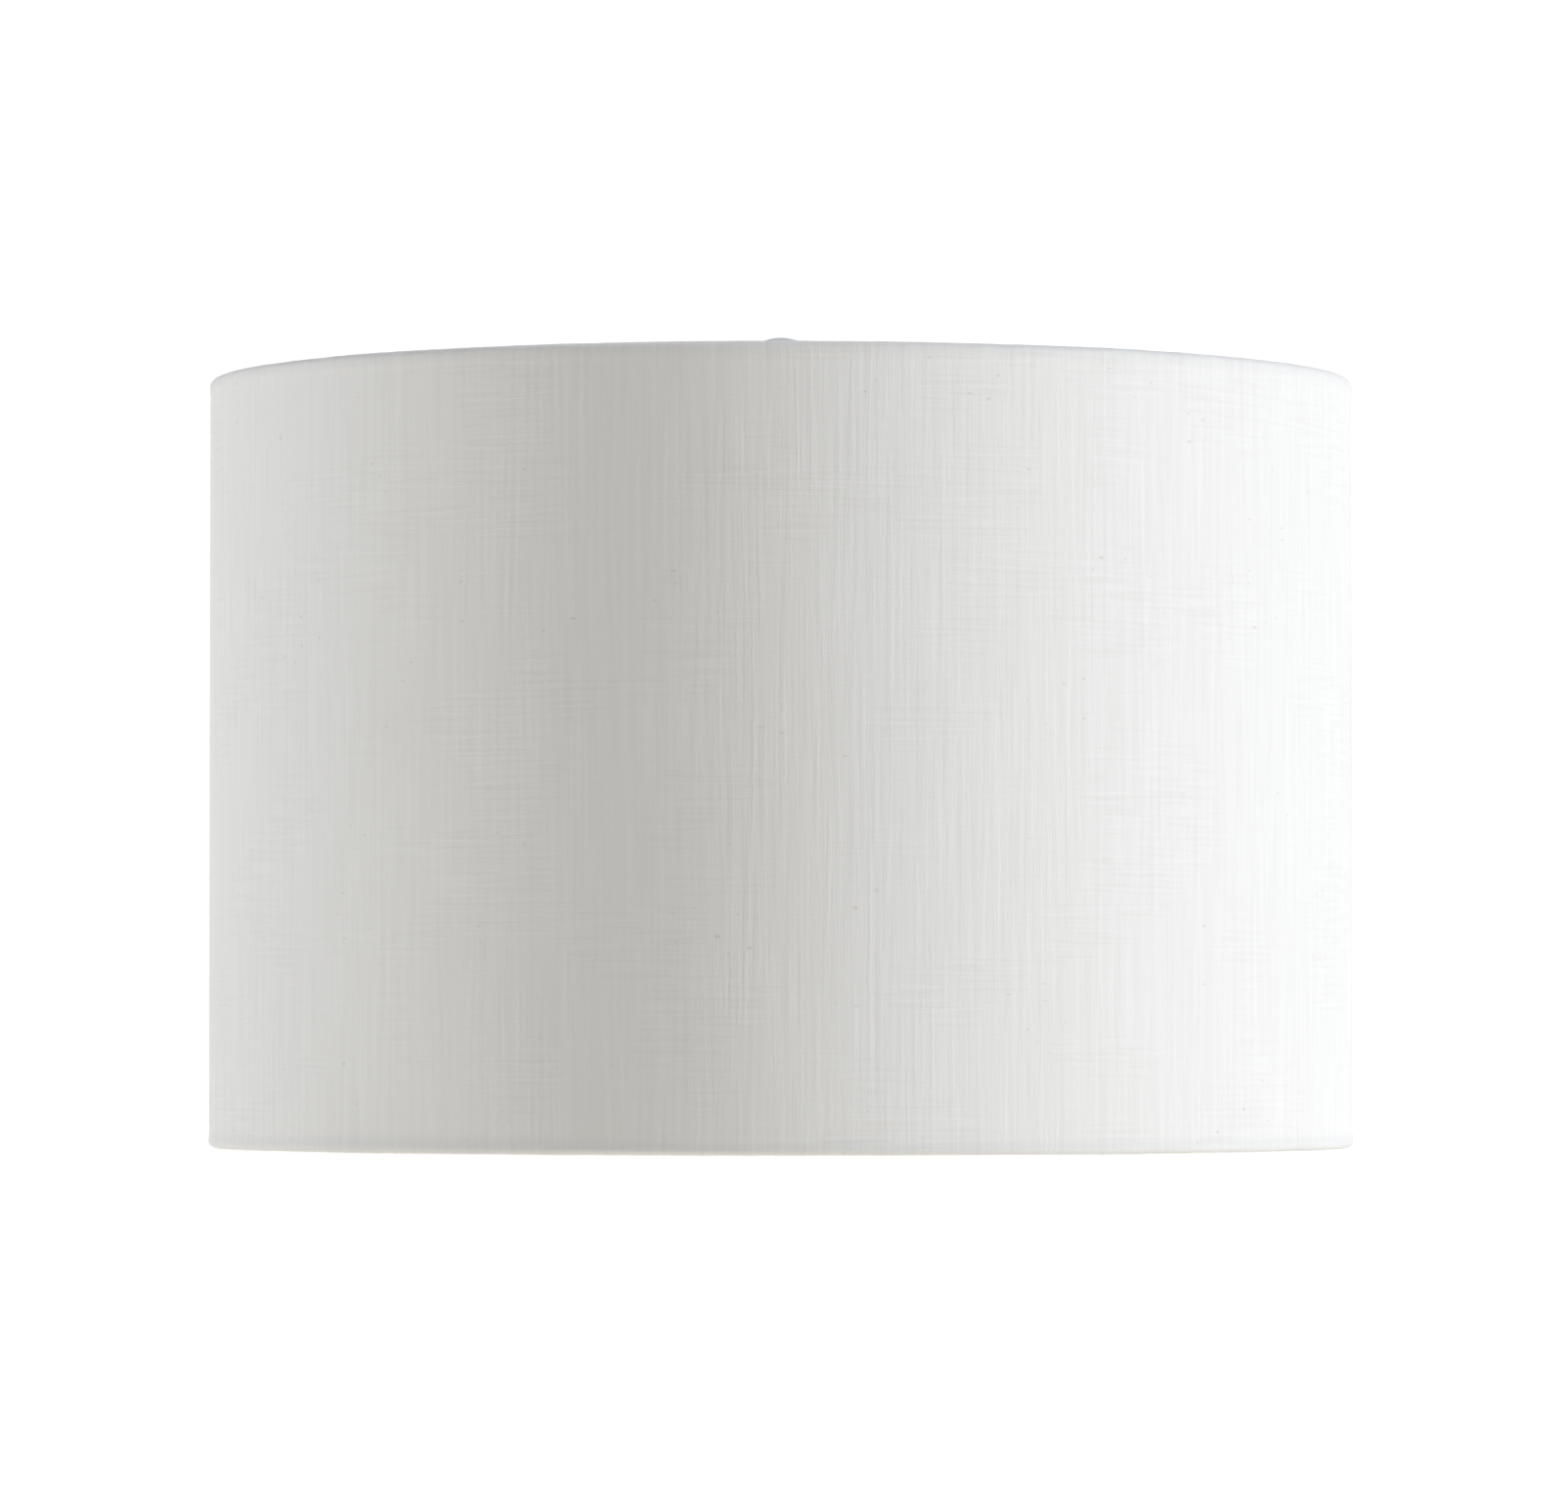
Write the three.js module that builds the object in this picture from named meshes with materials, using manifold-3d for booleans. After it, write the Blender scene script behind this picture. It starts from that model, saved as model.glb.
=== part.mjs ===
// Drum lamp shade with rolled cloth edges and a recessed spider fitter, held down by a turned finial.
// Millimetres, +Z up. The origin is the centre of the circle that the lower rim rests on.
// +Y points at the lapped side seam, which is kept at the back.

import * as THREE from "three";
import { mergeVertices } from "three/addons/utils/BufferGeometryUtils.js";
import Module from "manifold-3d";

const wasm = await Module();
wasm.setup();

// ---------- Driving dimensions ----------

// Shade body
const SHADE_RADIUS = 190.5; // outer face of the cloth wall
const SHADE_HEIGHT = 255; // lower rim to upper rim
const CLOTH_THICKNESS = 0.5;
const LINER_THICKNESS = 0.4; // stiff styrene sheet behind the cloth
const BOND_GAP = 0.2; // glue line between layers that are stuck together
const RIM_CORNER_RADIUS = 2.1; // where the wall turns over the rim
const TUCK_ANGLE = 55; // degrees: where the turned-in cloth ends behind the ring wire

// Side seam
const LAP_WIDTH = 9.5; // how far the upper cloth end passes over the lower one
const LAP_END_INSET = 7; // from each rim to the end of the lap
const SEAM_SLIT = 0.4; // gap between the two cloth ends where they meet on the rims
const LAP_ROOT_WIDTH = 1.5; // cloth that steps out from the wall to the lap
const TAPE_WIDTH = 7;
const TAPE_THICKNESS = 0.2;

// Wire frame
const RING_WIRE_DIAMETER = 3.2;
const ARM_WIRE_DIAMETER = 3;
const ARM_COUNT = 3;
const FIRST_ARM_ANGLE = 30; // degrees from +X
const SPIDER_DROP = 12.7; // upper ring down to the arms' level run
const ARM_RIM_RUN = 7; // level stretch inside the ring before the arm bends down
const ARM_SLOPE_ANGLE = 62; // degrees below level, on the way down
const ARM_BEND_LENGTH = 5; // cut back from each corner of the arm for its bend
const NOTCH_CLEARANCE = 1; // beside and above an arm where it leaves the rolled cloth
const WELD_GAP = 0.3; // at each welded joint

// Washer that the lamp's harp passes its stud through
const WASHER_DIAMETER = 28.6;
const WASHER_THICKNESS = 1.6;
const WASHER_HOLE_DIAMETER = 11.1;
const WASHER_EDGE_ROUND = 0.4;
const HARP_SEAT_DIAMETER = 21; // kept free of arms under the washer

// Finial
const FINIAL_SEAT_GAP = 0.3; // base to washer
const STUD_SOCKET_DIAMETER = 6.5;
const STUD_SOCKET_DEPTH = 9;
const BASE_FLANGE_DIAMETER = 15.5;
const BASE_FLANGE_HEIGHT = 2.2;
const NECK_DIAMETER = 10;
const BASE_HEIGHT = 12.2; // seat to the shoulder under the knob
const SPIGOT_DIAMETER = 5.4;
const SPIGOT_HEIGHT = 5;
const SPIGOT_CLEARANCE = 0.3;
const KNOB_DIAMETER = 19;
const KNOB_HEIGHT = 14.2;
const KNOB_FOOT_DIAMETER = 9.4;
const KNOB_WAIST_HEIGHT = 7.6; // foot to the widest circle
const KNOB_CROWN_DIAMETER = 14; // edge of the shallow dome on top
const KNOB_CROWN_DEPTH = 1.6;

// Facets
const SHADE_FACETS = 60;
const CORNER_STEPS = 2;
const WRAP_STEPS = 7;
const WIRE_SIDES = 8;
const ARM_STEPS = 26;
const WASHER_FACETS = 36;
const FINIAL_FACETS = 24;
const KNOB_CURVE_STEPS = 5;

// ---------- Derived places ----------

const ringWireRadius = RING_WIRE_DIAMETER / 2;
const armWireRadius = ARM_WIRE_DIAMETER / 2;
const rollRadius = ringWireRadius + BOND_GAP + CLOTH_THICKNESS;
const linerOuterRadius = SHADE_RADIUS - CLOTH_THICKNESS - BOND_GAP;
const linerInnerRadius = linerOuterRadius - LINER_THICKNESS;
const ringRadius = linerInnerRadius - BOND_GAP - ringWireRadius;
const lowerRingHeight = rollRadius;
const upperRingHeight = SHADE_HEIGHT - rollRadius;
const seamAngle = Math.PI / 2;
const lapGap = TAPE_THICKNESS + 2 * BOND_GAP;

const armRunHeight = upperRingHeight - SPIDER_DROP;
const washerBase = armRunHeight + armWireRadius + WELD_GAP;
const finialBase = washerBase + WASHER_THICKNESS + FINIAL_SEAT_GAP;
const knobBase = finialBase + BASE_HEIGHT + SPIGOT_CLEARANCE;

// ---------- Helpers ----------

const radians = THREE.MathUtils.degToRad;

// Points along an arc in a section plane, both ends included.
function arcPoints(centreX, centreY, radius, from, to, steps) {
  const points = [];
  for (let i = 0; i <= steps; i++) {
    const angle = from + ((to - from) * i) / steps;
    points.push(new THREE.Vector2(centreX + radius * Math.cos(angle), centreY + radius * Math.sin(angle)));
  }
  return points;
}

// A section of (radius, height) points turned about the Z axis.
function turned(points, facets) {
  return new THREE.LatheGeometry(points, facets).rotateX(Math.PI / 2);
}

// The same, for a section that stands off the axis and closes on itself.
function turnedRing(points, facets) {
  return turned([...points, points[0]], facets);
}

function rectangle(innerRadius, outerRadius, bottom, top) {
  return [
    new THREE.Vector2(innerRadius, bottom),
    new THREE.Vector2(outerRadius, bottom),
    new THREE.Vector2(outerRadius, top),
    new THREE.Vector2(innerRadius, top),
  ];
}

function solidOf(geometry) {
  const plain = geometry.clone();
  plain.deleteAttribute("normal");
  plain.deleteAttribute("uv");
  const merged = mergeVertices(plain, 1e-4);
  return new wasm.Manifold(
    new wasm.Mesh({
      numProp: 3,
      vertProperties: new Float32Array(merged.attributes.position.array),
      triVerts: new Uint32Array(merged.index.array),
    }),
  );
}

function geometryOf(solid) {
  const mesh = solid.getMesh();
  const geometry = new THREE.BufferGeometry();
  geometry.setAttribute("position", new THREE.BufferAttribute(mesh.vertProperties, 3));
  geometry.setIndex(new THREE.BufferAttribute(mesh.triVerts, 1));
  geometry.computeVertexNormals();
  return geometry;
}

// A wedge of space about the Z axis, between two angles and two heights.
function wedge(fromAngle, toAngle, bottom, top) {
  const reach = 1.2 * SHADE_RADIUS;
  const outline = new THREE.Shape([
    new THREE.Vector2(0, 0),
    new THREE.Vector2(reach * Math.cos(fromAngle), reach * Math.sin(fromAngle)),
    new THREE.Vector2(reach * Math.cos(toAngle), reach * Math.sin(toAngle)),
  ]);
  const slab = new THREE.ExtrudeGeometry(outline, { depth: top - bottom, bevelEnabled: false });
  return solidOf(slab.translate(0, 0, bottom));
}

const armAngles = Array.from({ length: ARM_COUNT }, (_, i) => radians(FIRST_ARM_ANGLE + (i * 360) / ARM_COUNT));

// ---------- Cloth ----------

// The cloth around the lower rim: down the outside of the wall, round the ring wire and behind it,
// then back along the cloth's inner face.
function rolledRimPoints() {
  const cornerCentre = SHADE_RADIUS - RIM_CORNER_RADIUS;
  const tuckEnd = radians(TUCK_ANGLE) - 2 * Math.PI;
  const corner = (radius, from, to) =>
    arcPoints(cornerCentre, RIM_CORNER_RADIUS, radius, from, to, CORNER_STEPS);
  const wrap = (radius, from, to) => arcPoints(ringRadius, lowerRingHeight, radius, from, to, WRAP_STEPS);
  return [
    ...corner(RIM_CORNER_RADIUS, 0, -Math.PI / 2),
    ...wrap(rollRadius, -Math.PI / 2, tuckEnd),
    ...wrap(rollRadius - CLOTH_THICKNESS, tuckEnd, -Math.PI / 2),
    ...corner(RIM_CORNER_RADIUS - CLOTH_THICKNESS, -Math.PI / 2, 0),
  ];
}

function clothSection() {
  const lowerRim = rolledRimPoints();
  const upperRim = lowerRim.map((point) => new THREE.Vector2(point.x, SHADE_HEIGHT - point.y)).reverse();
  return [...lowerRim, ...upperRim].reverse();
}

// The cut in the turned-in cloth that lets an arm reach the upper ring.
function armNotch(angle) {
  const inner = ringRadius - rollRadius - NOTCH_CLEARANCE;
  const outer = linerInnerRadius;
  const bottom = upperRingHeight - rollRadius - NOTCH_CLEARANCE;
  const top = upperRingHeight + armWireRadius + BOND_GAP;
  const width = ARM_WIRE_DIAMETER + 2 * NOTCH_CLEARANCE;
  const block = new THREE.BoxGeometry(outer - inner, width, top - bottom);
  block.translate((inner + outer) / 2, 0, (bottom + top) / 2).rotateZ(angle);
  return solidOf(block);
}

// The cloth end that steps out from the wall and passes over the other end.
function seamLap() {
  const bottom = LAP_END_INSET;
  const top = SHADE_HEIGHT - LAP_END_INSET;
  const lapInner = SHADE_RADIUS + lapGap;
  const lapOuter = lapInner + CLOTH_THICKNESS;
  const rootAngle = (LAP_ROOT_WIDTH + SEAM_SLIT / 2) / SHADE_RADIUS;
  const slitAngle = SEAM_SLIT / 2 / SHADE_RADIUS;
  const lapAngle = LAP_WIDTH / SHADE_RADIUS;
  const lapSheet = solidOf(turnedRing(rectangle(lapInner, lapOuter, bottom, top), SHADE_FACETS));
  const rootBlock = solidOf(
    turnedRing(rectangle(SHADE_RADIUS - CLOTH_THICKNESS / 2, lapOuter, bottom, top), SHADE_FACETS),
  );
  const lap = lapSheet.intersect(wedge(seamAngle - lapAngle, seamAngle + rootAngle, bottom, top));
  const root = rootBlock.intersect(wedge(seamAngle + slitAngle, seamAngle + rootAngle, bottom, top));
  return lap.add(root);
}

function outerCloth() {
  const slitAngle = SEAM_SLIT / 2 / SHADE_RADIUS;
  const slit = wedge(seamAngle - slitAngle, seamAngle + slitAngle, -1, SHADE_HEIGHT + 1);
  let cloth = solidOf(turnedRing(clothSection(), SHADE_FACETS)).subtract(slit);
  for (const angle of armAngles) cloth = cloth.subtract(armNotch(angle));
  return geometryOf(cloth.add(seamLap()));
}

// ---------- Liner and seam tape ----------

function styreneLiner() {
  const edgeInset = RIM_CORNER_RADIUS + BOND_GAP;
  const section = rectangle(linerInnerRadius, linerOuterRadius, edgeInset, SHADE_HEIGHT - edgeInset);
  const slitAngle = SEAM_SLIT / 2 / SHADE_RADIUS;
  const slit = wedge(seamAngle - slitAngle, seamAngle + slitAngle, 0, SHADE_HEIGHT);
  return geometryOf(solidOf(turnedRing(section, SHADE_FACETS)).subtract(slit));
}

function seamTape() {
  const inner = SHADE_RADIUS + BOND_GAP;
  const bottom = LAP_END_INSET + BOND_GAP;
  const top = SHADE_HEIGHT - bottom;
  const farAngle = seamAngle - (LAP_WIDTH + TAPE_WIDTH) / 2 / SHADE_RADIUS;
  const nearAngle = seamAngle - (LAP_WIDTH - TAPE_WIDTH) / 2 / SHADE_RADIUS;
  const ring = solidOf(turnedRing(rectangle(inner, inner + TAPE_THICKNESS, bottom, top), SHADE_FACETS));
  return geometryOf(ring.intersect(wedge(farAngle, nearAngle, bottom, top)));
}

// ---------- Wire frame ----------

function wireRing(height) {
  const ring = new THREE.TorusGeometry(ringRadius, ringWireRadius, WIRE_SIDES, SHADE_FACETS);
  return ring.translate(0, 0, height);
}

// One arm in the XZ plane: level from the ring, down by the drop, and level to the washer.
function spiderArm() {
  const level = (radius, height) => new THREE.Vector3(radius, 0, height);
  const ringEnd = ringRadius - ringWireRadius - WELD_GAP;
  const upperBend = ringEnd - ARM_RIM_RUN;
  const lowerBend = upperBend - SPIDER_DROP / Math.tan(radians(ARM_SLOPE_ANGLE));
  const corners = [
    level(ringEnd, upperRingHeight),
    level(upperBend, upperRingHeight),
    level(lowerBend, armRunHeight),
    level(HARP_SEAT_DIAMETER / 2, armRunHeight),
  ];
  const path = new THREE.CurvePath();
  let last = corners[0];
  for (let i = 1; i < corners.length - 1; i++) {
    const towardsLast = corners[i - 1].clone().sub(corners[i]).setLength(ARM_BEND_LENGTH);
    const towardsNext = corners[i + 1].clone().sub(corners[i]).setLength(ARM_BEND_LENGTH);
    const bendStart = corners[i].clone().add(towardsLast);
    const bendEnd = corners[i].clone().add(towardsNext);
    path.add(new THREE.LineCurve3(last, bendStart));
    path.add(new THREE.QuadraticBezierCurve3(bendStart, corners[i], bendEnd));
    last = bendEnd;
  }
  path.add(new THREE.LineCurve3(last, corners[corners.length - 1]));
  const section = new THREE.Shape(arcPoints(0, 0, armWireRadius, 0, 2 * Math.PI, WIRE_SIDES).slice(1));
  return new THREE.ExtrudeGeometry(section, { steps: ARM_STEPS, extrudePath: path, bevelEnabled: false });
}

function spiderWasher() {
  const inner = WASHER_HOLE_DIAMETER / 2;
  const outer = WASHER_DIAMETER / 2;
  const top = washerBase + WASHER_THICKNESS;
  const section = [
    new THREE.Vector2(inner, washerBase),
    new THREE.Vector2(outer - WASHER_EDGE_ROUND, washerBase),
    new THREE.Vector2(outer, washerBase + WASHER_EDGE_ROUND),
    new THREE.Vector2(outer, top - WASHER_EDGE_ROUND),
    new THREE.Vector2(outer - WASHER_EDGE_ROUND, top),
    new THREE.Vector2(inner, top),
  ];
  return turnedRing(section, WASHER_FACETS);
}

// ---------- Finial ----------

function finialBaseBody() {
  const socket = STUD_SOCKET_DIAMETER / 2;
  const flange = BASE_FLANGE_DIAMETER / 2;
  const neck = NECK_DIAMETER / 2;
  const spigot = SPIGOT_DIAMETER / 2;
  const edge = BASE_FLANGE_HEIGHT / 4;
  const shoulder = finialBase + BASE_HEIGHT;
  const section = [
    new THREE.Vector2(0, finialBase + STUD_SOCKET_DEPTH),
    new THREE.Vector2(socket, finialBase + STUD_SOCKET_DEPTH),
    new THREE.Vector2(socket, finialBase),
    new THREE.Vector2(flange - edge, finialBase),
    new THREE.Vector2(flange, finialBase + edge),
    new THREE.Vector2(flange, finialBase + BASE_FLANGE_HEIGHT - edge),
    new THREE.Vector2(flange - edge, finialBase + BASE_FLANGE_HEIGHT),
    new THREE.Vector2(neck + edge, finialBase + BASE_FLANGE_HEIGHT),
    new THREE.Vector2(neck, finialBase + BASE_FLANGE_HEIGHT + edge),
    new THREE.Vector2(neck, shoulder - edge),
    new THREE.Vector2(neck - edge, shoulder),
    new THREE.Vector2(spigot, shoulder),
    new THREE.Vector2(spigot, shoulder + SPIGOT_HEIGHT),
    new THREE.Vector2(0, shoulder + SPIGOT_HEIGHT),
  ];
  return turned(section, FINIAL_FACETS);
}

// A bun-shaped knob: round belly and shoulder under a shallow dome, bored for the base's spigot.
function finialKnob() {
  const bore = SPIGOT_DIAMETER / 2 + SPIGOT_CLEARANCE;
  const boreTop = finialBase + BASE_HEIGHT + SPIGOT_HEIGHT + SPIGOT_CLEARANCE;
  const belly = KNOB_DIAMETER / 2;
  const foot = new THREE.Vector2(KNOB_FOOT_DIAMETER / 2, knobBase);
  const widest = new THREE.Vector2(belly, knobBase + KNOB_WAIST_HEIGHT);
  const crownRadius = (KNOB_CROWN_DIAMETER ** 2 / 4 + KNOB_CROWN_DEPTH ** 2) / (2 * KNOB_CROWN_DEPTH);
  const crownAngle = Math.asin(KNOB_CROWN_DIAMETER / 2 / crownRadius);
  const crownCentre = knobBase + KNOB_HEIGHT - crownRadius;
  const top = Math.PI / 2;
  const crown = arcPoints(0, crownCentre, crownRadius, top - crownAngle, top, KNOB_CURVE_STEPS);
  crown[KNOB_CURVE_STEPS].x = 0;
  const underside = new THREE.QuadraticBezierCurve(foot, new THREE.Vector2(belly, foot.y), widest);
  const shoulder = new THREE.QuadraticBezierCurve(widest, new THREE.Vector2(belly, crown[0].y), crown[0]);
  const section = [
    new THREE.Vector2(0, boreTop),
    new THREE.Vector2(bore, boreTop),
    new THREE.Vector2(bore, knobBase),
    ...underside.getPoints(KNOB_CURVE_STEPS),
    ...shoulder.getPoints(KNOB_CURVE_STEPS).slice(1),
    ...crown.slice(1),
  ];
  return turned(section, FINIAL_FACETS);
}

// ---------- Materials ----------

function finish(color, roughness, metalness = 0) {
  return new THREE.MeshStandardMaterial({ color, roughness, metalness });
}

const linen = finish(0xe6e5e0, 0.92);
const styrene = finish(0xf3f2ee, 0.45);
const tape = finish(0xd9d4c6, 0.6);
const platedWire = finish(0xc9c8c4, 0.32, 1);
const finialMetal = finish(0xa9a89c, 0.35, 1);

// ---------- Assembly ----------

function named(name, geometry, material) {
  const mesh = new THREE.Mesh(geometry, material);
  mesh.name = name;
  return mesh;
}

const shade = new THREE.Group();
shade.add(
  named("outer_cloth", outerCloth(), linen),
  named("styrene_liner", styreneLiner(), styrene),
  named("seam_tape", seamTape(), tape),
  named("lower_ring", wireRing(lowerRingHeight), platedWire),
  named("upper_ring", wireRing(upperRingHeight), platedWire),
  named("spider_washer", spiderWasher(), platedWire),
);
armAngles.forEach((angle, i) => {
  shade.add(named(`spider_arm_${i + 1}`, spiderArm().rotateZ(angle), platedWire));
});

const finial = new THREE.Group();
finial.add(
  named("finial_base", finialBaseBody(), finialMetal),
  named("finial_knob", finialKnob(), finialMetal),
);

const assembly = new THREE.Group();
assembly.add(shade, finial);

export default assembly;
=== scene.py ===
import math

import bpy
import numpy as np
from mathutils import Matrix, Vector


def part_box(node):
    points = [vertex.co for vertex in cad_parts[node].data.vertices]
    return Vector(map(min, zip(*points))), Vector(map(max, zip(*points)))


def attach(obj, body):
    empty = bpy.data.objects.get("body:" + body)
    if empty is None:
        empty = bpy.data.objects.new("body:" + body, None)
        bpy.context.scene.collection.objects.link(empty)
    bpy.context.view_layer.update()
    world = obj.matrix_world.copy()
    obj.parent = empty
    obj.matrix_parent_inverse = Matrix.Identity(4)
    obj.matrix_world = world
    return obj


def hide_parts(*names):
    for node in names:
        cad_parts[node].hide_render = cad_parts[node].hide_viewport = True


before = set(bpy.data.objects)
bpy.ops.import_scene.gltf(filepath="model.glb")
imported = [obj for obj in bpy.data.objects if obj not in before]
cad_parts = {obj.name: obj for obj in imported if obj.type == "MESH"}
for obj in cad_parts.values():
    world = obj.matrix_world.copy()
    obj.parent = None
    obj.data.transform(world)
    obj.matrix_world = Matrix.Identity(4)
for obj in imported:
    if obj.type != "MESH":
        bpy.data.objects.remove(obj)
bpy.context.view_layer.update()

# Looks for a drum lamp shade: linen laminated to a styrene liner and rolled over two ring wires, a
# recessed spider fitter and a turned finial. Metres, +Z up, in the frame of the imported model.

MM = 0.001
TAU = 2 * math.pi

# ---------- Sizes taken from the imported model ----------

cloth_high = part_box("outer_cloth")[1]
shade_radius = cloth_high.x
shade_height = cloth_high.z

ring_low, ring_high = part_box("lower_ring")
wire_radius = (ring_high.z - ring_low.z) / 2
ring_radius = ring_high.x - wire_radius
lower_ring_height = (ring_high.z + ring_low.z) / 2
upper_ring_height = shade_height - lower_ring_height

liner_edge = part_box("styrene_liner")[0].z

# The third arm points to the front, so its box gives the arms' length and the wire's thickness.
front_arm_low, front_arm_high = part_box("spider_arm_3")
arm_radius = (front_arm_high.x - front_arm_low.x) / 2
arm_ring_end = -front_arm_low.y
arm_washer_end = -front_arm_high.y
arm_run_height = front_arm_low.z + arm_radius

washer_low, washer_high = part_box("spider_washer")
base_low, base_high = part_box("finial_base")
knob_low, knob_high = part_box("finial_knob")

# ---------- Sizes that the looks add ----------

CLOTH = 0.45 * MM  # thickness of the linen
LINER = 0.35 * MM  # thickness of the styrene
BOND = 0.12 * MM  # glue, on the liner and round the ring wires
RIM_CORNER = 2.1 * MM  # radius between the wall and the underside of the roll
TUCK_ANGLE = 55  # degrees round the ring wire, where the turned-in cloth ends
ROLL_BULGE = 0.11 * MM  # how far the roll stands out from the wall
ROLL_ENDS = (3.2 * MM, 6.0 * MM)  # from the rim, the roll passes into the wall between these
PINCH_DEPTH = 0.07 * MM  # further hollow beside the roll, where the cloth is drawn in behind the wire
PINCH_HEIGHT = 6.2 * MM  # from the rim
PINCH_WIDTH = 2.0 * MM
SWAY = 0.10 * MM  # how far the wall strays from a true circle
SWAY_LENGTHS = (0.09, 0.2, 0.38)
LAP_WIDTH = 9.5 * MM
LAP_STEP = 0.95 * MM  # the upper layer of the lap over the lower one
HEM_WIDTH = 6.5 * MM  # cloth folded under along the free end
HEM_EXTRA = 0.3 * MM  # thickness that the fold adds
HEM_DROP = 0.47 * MM  # the last of the hem comes down on the under layer
LAP_RISE = 4.5 * MM  # the way round in which the upper layer climbs on to the lower one
UNDER_END = LAP_WIDTH + 0.15 * MM  # how far from the seam the lower layer stops short of the rims
UNDER_FROM_RIM = 9.5 * MM
RIPPLE_INSIDE = 0.09 * MM  # ripples in the turned-in cloth
RIPPLE_ROLL = 0.05 * MM
SLUBS = 420  # raised streaks of thick thread
LINER_GAP = 0.4 * MM  # between the liner's two butted ends
TAPE_LIFT = 0.16 * MM  # the tape's lower face over the under layer
TAPE = 0.16 * MM  # thickness of the tape
SEAM_ANGLE = math.pi / 2  # the seam is at the back
ARM_ANGLES = [math.radians(30 + 120 * i) for i in range(3)]
ARM_RIM_RUN = 7 * MM  # level run from the ring to the first bend
ARM_SLOPE = math.radians(62)  # of the drop
ARM_BEND = 5 * MM  # how far to each side of its corner a bend reaches
NOTCH_HALF_WIDTH = 2.3 * MM  # the turned-in cloth is cut away round each arm
WIRE_SIDES = 20
WELD_SWELL = 0.07  # share of the radius that a ring's butt weld adds
WELD_LENGTH = 1.2 * MM

# ---------- Camera ----------

CAMERA_DISTANCE = 2.97  # from the shade's axis
CAMERA_HEIGHT = 0.0419
CAMERA_PITCH = 0.0306  # radians above level
CAMERA_SIDE = 1.03 * MM
LENS = 204.2  # millimetres, as is the sensor's width
SENSOR = 36.0


def add_camera():
    """A long lens in front of the shade, a little above its lower rim."""
    data = bpy.data.cameras.new("camera")
    data.lens = LENS
    data.sensor_fit = "HORIZONTAL"
    data.sensor_width = SENSOR
    data.clip_end = 60
    camera = bpy.data.objects.new("camera", data)
    camera.location = (CAMERA_SIDE, -CAMERA_DISTANCE, CAMERA_HEIGHT)
    camera.rotation_euler = (math.pi / 2 + CAMERA_PITCH, 0, 0)
    bpy.context.scene.collection.objects.link(camera)
    bpy.context.scene.camera = camera


add_camera()

# ---------- Mesh helpers ----------


def smoothstep(low, high, x):
    """0 where x is low or less, 1 where it is high or more, and a soft step between."""
    t = np.clip((np.asarray(x, float) - low) / (high - low), 0, 1)
    return t * t * (3 - 2 * t)


def wave_noise(x, wavelengths, seed):
    """Smooth noise along x from a few sines of random phase, mostly between -1 and 1."""
    rng = np.random.default_rng(seed)
    stretches = (1.0, 1.37, 0.71)
    usual_peak = 1.7 * len(wavelengths)
    total = np.zeros_like(np.asarray(x, float))
    for length in wavelengths:
        for stretch in stretches:
            total += np.sin(TAU * x / (length * stretch) + rng.uniform(0, TAU))
    return total / usual_peak


def add_piece(name, vertices, faces, uv=None, sharp_angle=None):
    """A smooth-shaded mesh object. uv maps a layer's name to one (u, v) for each face corner, and edges
    steeper than sharp_angle stay crisp."""
    mesh = bpy.data.meshes.new(name)
    mesh.from_pydata([tuple(v) for v in vertices], [], [tuple(f) for f in faces])
    for map_name, corners in (uv or {}).items():
        layer = mesh.uv_layers.new(name=map_name)
        layer.data.foreach_set("uv", np.asarray(corners, np.float32).ravel())
    mesh.polygons.foreach_set("use_smooth", [True] * len(mesh.polygons))
    if sharp_angle is not None:
        mesh.set_sharp_from_angle(angle=sharp_angle)
    mesh.validate()
    piece = bpy.data.objects.new(name, mesh)
    bpy.context.scene.collection.objects.link(piece)
    return piece


def grid_quads(columns, rows, used, offset=0, flip=False):
    """Quads over the used cells of a grid of points that is stored a column at a time."""
    i, j = np.meshgrid(np.arange(columns - 1), np.arange(rows - 1), indexing="ij")
    corner = (i * rows + j)[used] + offset
    quads = np.stack([corner, corner + rows, corner + rows + 1, corner + 1], 1)
    return quads[:, ::-1] if flip else quads


def turn(name, profile, segments):
    """A solid of revolution about Z from a profile of (radius, height) that starts and ends on the
    axis, or that closes on itself when its first and last points are the same."""
    profile = [tuple(p) for p in profile]
    closed = profile[0] == profile[-1]
    if closed:
        profile = profile[:-1]
    count = len(profile)
    vertices = []
    index = []
    for radius, height in profile:
        if radius == 0:
            index.append([len(vertices)] * segments)
            vertices.append((0, 0, height))
            continue
        index.append(range(len(vertices), len(vertices) + segments))
        for k in range(segments):
            angle = TAU * k / segments
            vertices.append((radius * math.cos(angle), radius * math.sin(angle), height))
    faces = []
    for i in range(count if closed else count - 1):
        here, above = index[i], index[(i + 1) % count]
        for k in range(segments):
            following = (k + 1) % segments
            corners = [here[k], here[following], above[following], above[k]]
            face = [c for n, c in enumerate(corners) if c not in corners[:n]]
            if len(face) > 2:
                faces.append(face)
    return add_piece(name, vertices, faces, sharp_angle=math.radians(38))


def arc(centre, radius, start, end, steps):
    """Points along an arc in a section plane, angles in degrees."""
    angles = np.radians(np.linspace(start, end, steps + 1))
    return [(centre[0] + radius * math.cos(a), centre[1] + radius * math.sin(a)) for a in angles]


def curve(start, control, end, steps):
    """Points along a quadratic curve, with both of its ends."""
    return [
        (1 - t) ** 2 * start + 2 * t * (1 - t) * control + t * t * end
        for t in np.linspace(0, 1, steps + 1)
    ]


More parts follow.
